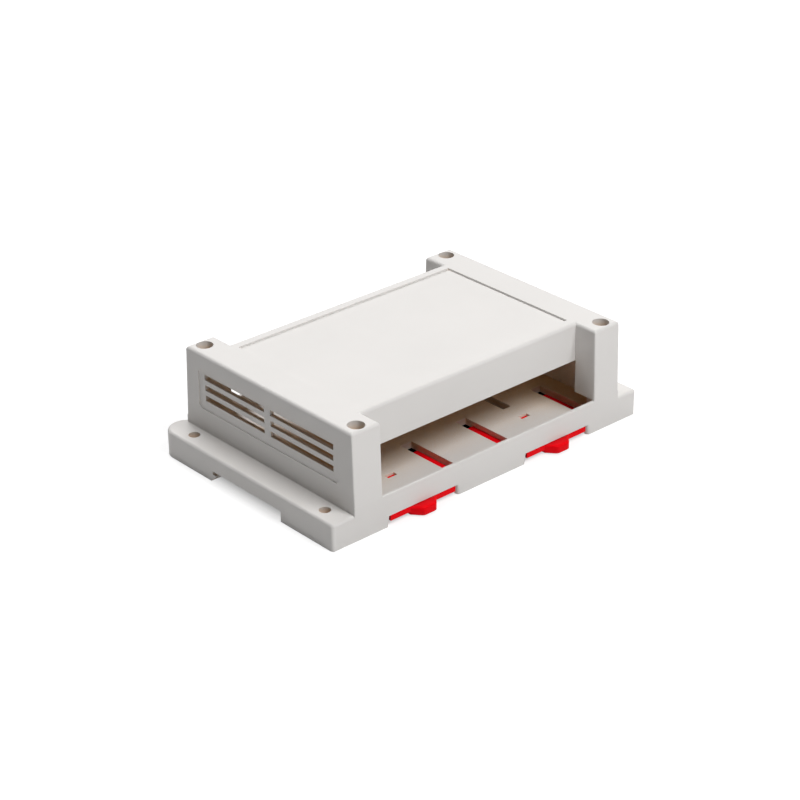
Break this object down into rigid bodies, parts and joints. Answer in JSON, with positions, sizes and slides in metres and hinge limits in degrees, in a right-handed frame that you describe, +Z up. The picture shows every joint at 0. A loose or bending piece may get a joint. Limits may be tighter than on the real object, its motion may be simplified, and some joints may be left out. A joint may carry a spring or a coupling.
{
  "type": "din rail enclosure",
  "caption": "Low grey two-part plastic enclosure for a control circuit, with open long sides for terminals, vented ends, screw flanges and red pull-out clips for a mounting rail.",
  "frame": {"origin": "midway between the flange holes, on the underside that lies on a panel", "axes": "+X along the mounting rail, -Y towards the long side with the pull tabs of the clips, +Z up from the underside to the cover's top"},
  "size_m": [0.145, 0.0966, 0.04],
  "materials": {
    "housing": "fine matte texture, warm light grey ABS",
    "clip": "satin, bright red",
    "screw": "zinc plated"
  },
  "bodies": {
    "housing": {"base": "housing", "cover": "housing", "cover_screws": "screw"},
    "left_clip": {"rail_clip_left": "clip"},
    "right_clip": {"rail_clip_right": "clip"}
  },
  "joints": [
    {"name": "left_clip_slide", "type": "slide", "parent": "housing", "child": "left_clip", "axis": [0, -1, 0], "range_m": [0, 0.004]},
    {"name": "right_clip_slide", "type": "slide", "parent": "housing", "child": "right_clip", "axis": [0, -1, 0], "range_m": [0, 0.004]}
  ]
}
